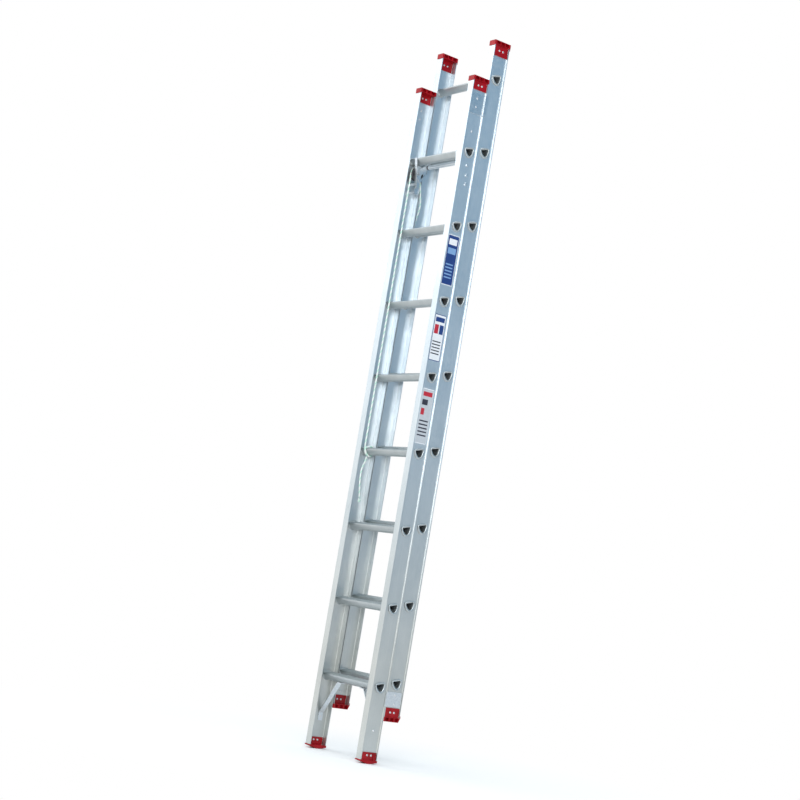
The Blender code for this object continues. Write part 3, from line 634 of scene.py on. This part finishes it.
def label_material(name, ground, bars, frame_colour):
    """A printed sticker: flat ground, a border and plain bars; nothing written on it."""
    m = Nodes(name, ground, 0.0, 0.45)
    uv = m.node("ShaderNodeTexCoord").outputs["UV"]
    parts = m.node("ShaderNodeSeparateXYZ")
    m.link(uv, parts.inputs["Vector"])
    across = parts.outputs["X"]
    up = parts.outputs["Y"]

    def inside(source, low, high):
        above = m.node("ShaderNodeMath", operation="GREATER_THAN")
        above.inputs[1].default_value = low
        m.link(source, above.inputs[0])
        below = m.node("ShaderNodeMath", operation="LESS_THAN")
        below.inputs[1].default_value = high
        m.link(source, below.inputs[0])
        both = m.node("ShaderNodeMath", operation="MULTIPLY")
        m.link(above.outputs[0], both.inputs[0])
        m.link(below.outputs[0], both.inputs[1])
        return both.outputs[0]

    def patch(x, y):
        both = m.node("ShaderNodeMath", operation="MULTIPLY")
        m.link(inside(across, *x), both.inputs[0])
        m.link(inside(up, *y), both.inputs[1])
        return both.outputs[0]

    colour = m.mix(patch((0.03, 0.97), (0.015, 0.985)), frame_colour, ground)
    for x, y, tone in bars:
        colour = m.mix(patch(x, y), colour, tone)
    rubbed = m.noise((120.0, 120.0, 120.0), 4.0)
    fade = m.ramp(rubbed, [(0.35, (0.90, 0.90, 0.90)), (0.65, (1.0, 1.0, 1.0))])
    m.colour(m.mix(0.7, colour, fade, "MULTIPLY"))
    m.rough(m.scaled(rubbed, 0.35, 0.55))
    m.bump(rubbed, 0.05, 0.0002)
    return m.material


BLUE = (0.012, 0.045, 0.20)
PALE_BLUE = (0.20, 0.36, 0.62)
WHITE = (0.80, 0.83, 0.86)
SILVER = (0.52, 0.56, 0.60)
SIGN_RED = (0.50, 0.02, 0.04)
INK = (0.03, 0.03, 0.05)


def make_labels():
    rows = [(0.14 + 0.065 * i, 0.165 + 0.065 * i) for i in range(5)]
    blue_bars = [((0.14, 0.86), (0.80, 0.92), WHITE), ((0.14, 0.86), (0.62, 0.74), PALE_BLUE)]
    blue_bars += [((0.14, 0.80), row, PALE_BLUE) for row in rows]
    white_bars = [((0.10, 0.90), (0.84, 0.94), BLUE), ((0.10, 0.46), (0.58, 0.78), SIGN_RED),
                  ((0.54, 0.90), (0.58, 0.78), BLUE)]
    white_bars += [((0.10, 0.84), row, INK) for row in rows]
    silver_bars = [((0.10, 0.90), (0.86, 0.94), SIGN_RED), ((0.10, 0.60), (0.70, 0.80), INK)]
    silver_bars += [((0.10, 0.88), row, INK) for row in rows]
    silver_bars += [((0.10, 0.40), (0.52, 0.64), SIGN_RED)]
    web = BASE_HALF_WIDTH - OUTER_RECESS
    low_y = -SECTION_Y - 29.5 * MM
    high_y = -SECTION_Y + 24.0 * MM
    for name, span, ground, bars, edge in (
        ("label_blue", (1.850, 2.050), BLUE, blue_bars, WHITE),
        ("label_white", (1.550, 1.732), WHITE, white_bars, BLUE),
        ("label_silver", (1.224, 1.439), SILVER, silver_bars, WHITE),
    ):
        bm = bmesh.new()
        uv_layer = bm.loops.layers.uv.new("print")
        corner = 3.0 * MM
        outline = []
        for cy, cz, start in (
            (high_y - corner, span[1] - corner, 0.0), (low_y + corner, span[1] - corner, 90.0),
            (low_y + corner, span[0] + corner, 180.0), (high_y - corner, span[0] + corner, 270.0),
        ):
            for k in range(5):
                angle = math.radians(start + 22.5 * k)
                outline.append((cy + corner * math.cos(angle), cz + corner * math.sin(angle)))
        top = [bm.verts.new((web + 0.25 * MM, y, z)) for y, z in outline]
        back = [bm.verts.new((web + 0.02 * MM, y, z)) for y, z in outline]
        bm.faces.new(top)
        bm.faces.new(back)
        ring_loft(bm, [back, top])
        for face in bm.faces:
            for loop in face.loops:
                y, z = loop.vert.co.y, loop.vert.co.z
                u = (y - low_y) / (high_y - low_y)
                v = (z - span[0]) / (span[1] - span[0])
                loop[uv_layer].uv = (u, v)
        item = finish_mesh(bm, name, label_material(name + "_print", ground, bars, edge), 30.0)
        stand_in(item, "base", "stile_aluminium")


# ---------------------------------------------------------------- lock springs

AXLE_Y = 2.5 * MM - SECTION_Y
AXLE_Z = 2.334
SPRING_TURNS = 4.25
SPRING_RADIUS = 6.2 * MM
SPRING_START = 131.0 * MM
SPRING_REACH = 5.6 * MM


def make_springs():
    """Torsion springs on the lock axles, drawn with a short leg at each end."""
    for side, label in ((-1, "left"), (1, "right")):
        points = []
        steps = 120
        for i in range(steps + 1):
            angle = 2.0 * math.pi * SPRING_TURNS * i / steps - math.pi / 2
            points.append(Vector((
                side * (SPRING_START + SPRING_REACH * i / steps),
                AXLE_Y + SPRING_RADIUS * math.cos(angle),
                AXLE_Z + SPRING_RADIUS * math.sin(angle),
            )))
        first = points[0]
        last = points[-1]
        points = [first + Vector((0.0, -4.5 * MM, -0.6 * MM))] + points
        points.append(last + Vector((0.0, 0.4 * MM, 6.0 * MM)))
        item = wire(f"lock_spring_{label}_fine", points, 0.65 * MM, 10, RIVET)
        stand_in(item, "base", "zinc_steel", f"lock_spring_{label}")


# ---------------------------------------------------------------- rope

WHEEL_X = -151.6 * MM
WHEEL_PITCH_RADIUS = 26.0 * MM
HAND_Y = AXLE_Y - WHEEL_PITCH_RADIUS
RUN_Y = AXLE_Y + WHEEL_PITCH_RADIUS
STOW_X = -169.4 * MM
STOW_Y = 46.2 * MM - SECTION_Y
ANCHOR_LOW = 262.0 * MM
HITCH_LEVEL = BASE_RUNG_FIRST + 3 * RUNG_PITCH
HITCH_X = (-154.2 * MM, -146.6 * MM)
TAIL_ROUTE = (
    (-150.5, -8.0, 1162.1), (-150.5, -8.2, 1155.0), (-150.0, -12.0, 1140.0), (-148.0, -22.0, 1110.0),
    (-146.0, -23.0, 1070.0), (-147.0, -16.0, 1025.0), (-149.0, -10.0, 996.6),
)
KNOT_CENTRE = Vector((-149.3 * MM, -8.6 * MM - SECTION_Y, 987.2 * MM))


def wrap_points(offset, turns, start_share, steps_per_turn=40):
    """Points round the fourth rung, drifting along it as a hitch does."""
    section = [(y - SECTION_Y, HITCH_LEVEL + z) for y, z in fine_section(offset, 0.0, 0.25)]
    loop = [Vector((0.0, y, z)) for y, z in section]
    loop.append(loop[0])
    lengths = [0.0]
    for a, b in zip(loop, loop[1:]):
        lengths.append(lengths[-1] + (b - a).length)
    total = lengths[-1]
    points = []
    count = int(turns * steps_per_turn)
    for i in range(count + 1):
        share = (start_share + turns * i / count) % 1.0
        target = share * total
        index = max(k for k in range(len(lengths) - 1) if lengths[k] <= target)
        span = lengths[index + 1] - lengths[index]
        part = (target - lengths[index]) / span if span else 0.0
        spot = loop[index].lerp(loop[index + 1], part)
        spot.x = HITCH_X[0] + (HITCH_X[1] - HITCH_X[0]) * i / count
        points.append(spot)
    return points


def make_rope():
    lead = [Vector((WHEEL_X, RUN_Y, AXLE_Z - 0.6 * MM))]
    steps = 24
    for i in range(steps + 1):
        angle = math.pi * i / steps
        lead.append(Vector((
            WHEEL_X,
            AXLE_Y + WHEEL_PITCH_RADIUS * math.cos(angle),
            AXLE_Z + WHEEL_PITCH_RADIUS * math.sin(angle),
        )))
    front = Vector(((HITCH_X[0] + HITCH_X[1]) / 2, HAND_Y + 0.5 * MM, HITCH_LEVEL + 18.0 * MM))
    start = lead[-1]
    lead += [start.lerp(front, i / 60) for i in range(1, 61)]
    wraps = wrap_points(ROPE_RADIUS + 0.4 * MM, 2.25, 0.36)
    line = respaced(lead + wraps[2:], 2.2 * MM)
    hand = laid_rope("rope_hauling_line", line, ROPE)
    stand_in(hand, "base", "rope_cord", "rope_hand_line", "rope_over_wheel", "rope_hitch")

    run = [
        (WHEEL_X, RUN_Y, AXLE_Z - 0.6 * MM),
        (WHEEL_X, RUN_Y - 0.5 * MM, AXLE_Z - 30.0 * MM),
        (WHEEL_X - 0.5 * MM, STOW_Y - 4.0 * MM, AXLE_Z - 90.0 * MM),
        (WHEEL_X - 1.0 * MM, STOW_Y + 1.0 * MM, AXLE_Z - 130.0 * MM),
        (WHEEL_X - 12.0 * MM, STOW_Y + 1.0 * MM, AXLE_Z - 175.0 * MM),
        (STOW_X, STOW_Y, AXLE_Z - 220.0 * MM),
        (STOW_X, STOW_Y, AXLE_Z - 260.0 * MM),
        (STOW_X, STOW_Y, AXLE_Z - 1.100),
        (STOW_X, STOW_Y, ANCHOR_LOW - 6.0 * MM),
    ]
    fly_run = laid_rope("rope_fly_line", smooth_path(run, 3.0 * MM), ROPE)
    stand_in(fly_run, "base", "rope_cord", "rope_fly_run")
    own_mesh(fly_run)

    route = [(x * MM, y * MM - SECTION_Y, z * MM) for x, y, z in TAIL_ROUTE]
    path = smooth_path(route, 2.2 * MM)
    tail = laid_rope("rope_tail_line", path, ROPE)
    stand_in(tail, "base", "rope_cord", "rope_tail")
    knot_path = []
    steps = 96
    size = 1.95 * MM
    for i in range(steps + 1):
        t = 2.0 * math.pi * (i / steps) * 0.985 + 0.4
        offset = Vector((
            (math.sin(t) + 2.0 * math.sin(2.0 * t)) * 0.85,
            math.cos(t) - 2.0 * math.cos(2.0 * t),
            -math.sin(3.0 * t) * 1.2,
        ))
        knot_path.append(KNOT_CENTRE + Vector((offset.x, offset.z, offset.y)) * size)
    knot = laid_rope("rope_end_knot_fine", knot_path, ROPE, 2.7 * MM)
    stand_in(knot, "base", "rope_cord", "rope_end_knot")
    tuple(route[0])
    path_length(path)


# ---------------------------------------------------------------- camera, lights, floor

def make_camera():
    azimuth = math.radians(CAMERA_AZIMUTH)
    elevation = math.radians(CAMERA_ELEVATION)
    roll = math.radians(CAMERA_ROLL)
    forward = Vector((
        -math.sin(azimuth) * math.cos(elevation),
        math.cos(azimuth) * math.cos(elevation),
        -math.sin(elevation),
    ))
    level = forward.cross(Vector((0.0, 0.0, 1.0))).normalized()
    upright = level.cross(forward)
    right = math.cos(roll) * level + math.sin(roll) * upright
    up = -math.sin(roll) * level + math.cos(roll) * upright
    place = AIM - CAMERA_DISTANCE * forward + CAMERA_SIDE * right + CAMERA_RISE * up
    data = bpy.data.cameras.new("camera")
    data.lens = CAMERA_LENS
    data.sensor_width = 36.0
    data.clip_end = 200.0
    item = bpy.data.objects.new("camera", data)
    bpy.context.scene.collection.objects.link(item)
    rotation = Matrix((right, up, -forward)).transposed()
    item.matrix_world = Matrix.Translation(place) @ rotation.to_4x4()
    bpy.context.scene.camera = item


def make_world():
    """White studio: bright all round, with a cooler, dimmer band off to the right rear."""
    world = bpy.data.worlds.new("studio")
    bpy.context.scene.world = world
    world.use_nodes = True
    tree = world.node_tree
    background = tree.nodes["Background"]
    coordinate = tree.nodes.new("ShaderNodeTexCoord")
    direction = tree.nodes.new("ShaderNodeVectorMath")
    direction.operation = "DOT_PRODUCT"
    direction.inputs[1].default_value = Vector((0.80, 0.60, 0.0)).normalized()
    tree.links.new(coordinate.outputs["Generated"], direction.inputs[0])
    height = tree.nodes.new("ShaderNodeSeparateXYZ")
    tree.links.new(coordinate.outputs["Generated"], height.inputs[0])
    sky = tree.nodes.new("ShaderNodeMapRange")
    sky.inputs["From Min"].default_value = -0.16
    sky.inputs["From Max"].default_value = 0.20
    tree.links.new(height.outputs["Z"], sky.inputs["Value"])
    dim = tree.nodes.new("ShaderNodeValToRGB")
    dim.color_ramp.elements[0].color = (0.27, 0.29, 0.28, 1.0)
    dim.color_ramp.elements[1].color = (0.13, 0.31, 0.48, 1.0)
    tree.links.new(sky.outputs["Result"], dim.inputs["Fac"])
    band = tree.nodes.new("ShaderNodeMapRange")
    band.interpolation_type = "SMOOTHSTEP"
    band.inputs["From Min"].default_value = 0.40
    band.inputs["From Max"].default_value = 0.88
    tree.links.new(direction.outputs["Value"], band.inputs["Value"])
    ramp = tree.nodes.new("ShaderNodeMixRGB")
    ramp.inputs["Color1"].default_value = (0.98, 1.04, 1.07, 1.0)
    tree.links.new(band.outputs["Result"], ramp.inputs["Fac"])
    tree.links.new(dim.outputs["Color"], ramp.inputs["Color2"])
    tree.links.new(ramp.outputs["Color"], background.inputs["Color"])
    background.inputs["Strength"].default_value = 1.0
    plain = tree.nodes.new("ShaderNodeBackground")
    plain.inputs["Color"].default_value = (1.0, 1.0, 1.0, 1.0)
    path = tree.nodes.new("ShaderNodeLightPath")
    mix = tree.nodes.new("ShaderNodeMixShader")
    tree.links.new(path.outputs["Is Camera Ray"], mix.inputs["Fac"])
    tree.links.new(background.outputs[0], mix.inputs[1])
    tree.links.new(plain.outputs[0], mix.inputs[2])
    tree.links.new(mix.outputs[0], tree.nodes["World Output"].inputs["Surface"])


def make_light(name, place, target, size, power, colour):
    data = bpy.data.lights.new(name, "AREA")
    data.shape = "RECTANGLE"
    data.size, data.size_y = size
    data.energy = power
    data.color = colour
    item = bpy.data.objects.new(name, data)
    bpy.context.scene.collection.objects.link(item)
    aim = Vector(target) - Vector(place)
    item.location = place
    item.rotation_euler = aim.to_track_quat("-Z", "Y").to_euler()
    item.visible_camera = False


def make_floor():
    """A pale round floor that turns to the white of the background away from the ladder."""
    bm = bmesh.new()
    rings = []
    for radius in (0.35, 0.9, 2.0, 5.0, 12.0, 30.0):
        rings.append([
            bm.verts.new((radius * math.cos(a), radius * math.sin(a), 0.0))
            for a in (2.0 * math.pi * k / 64 for k in range(64))
        ])
    bm.faces.new(rings[0])
    ring_loft(bm, rings)
    m = Nodes("floor_pale", (0.90, 0.90, 0.90), 0.0, 0.9)
    distance = m.node("ShaderNodeVectorMath", operation="LENGTH")
    m.link(m.place, distance.inputs[0])
    fade = m.node("ShaderNodeMapRange", interpolation_type="SMOOTHSTEP")
    fade.inputs["From Min"].default_value = 0.15
    fade.inputs["From Max"].default_value = 1.6
    m.link(distance.outputs["Value"], fade.inputs["Value"])
    glow = m.node("ShaderNodeEmission")
    blend = m.node("ShaderNodeMixShader")
    m.link(fade.outputs["Result"], blend.inputs["Fac"])
    m.link(m.shader.outputs[0], blend.inputs[1])
    m.link(glow.outputs[0], blend.inputs[2])
    m.link(blend.outputs[0], m.tree.nodes["Material Output"].inputs["Surface"])
    floor = finish_mesh(bm, "floor", m.material, 30.0)
    floor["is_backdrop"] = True


def main():
    bpy.context.scene.view_settings.view_transform = "Standard"
    make_camera()
    make_rope()
    paint_nodes()
    caps = [name for name in NODES if "cap" in name or "foot" in name]
    soften(caps, 0.9 * MM)
    soften([name for name in NODES if "guide" in name or "brace" in name], 0.5 * MM)
    make_rungs()
    make_rivets()
    make_labels()
    make_springs()
    make_world()
    make_light("key", (-2.6, -3.4, 3.6), (0.0, 0.0, 1.4), (2.4, 2.4), 25.0, (1.0, 1.0, 1.0))
    make_light("near", (3.4, -2.6, 2.4), (0.0, 0.0, 1.6), (1.6, 2.6), 60.0, (1.0, 1.0, 1.0))
    make_light("top", (0.4, -0.6, 5.2), (0.0, 0.0, 1.0), (2.0, 2.0), 30.0, (1.0, 1.0, 1.0))
    make_floor()


main()
sizes = [[list(corner) for corner in box] for box in (CAD_BOX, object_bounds())]
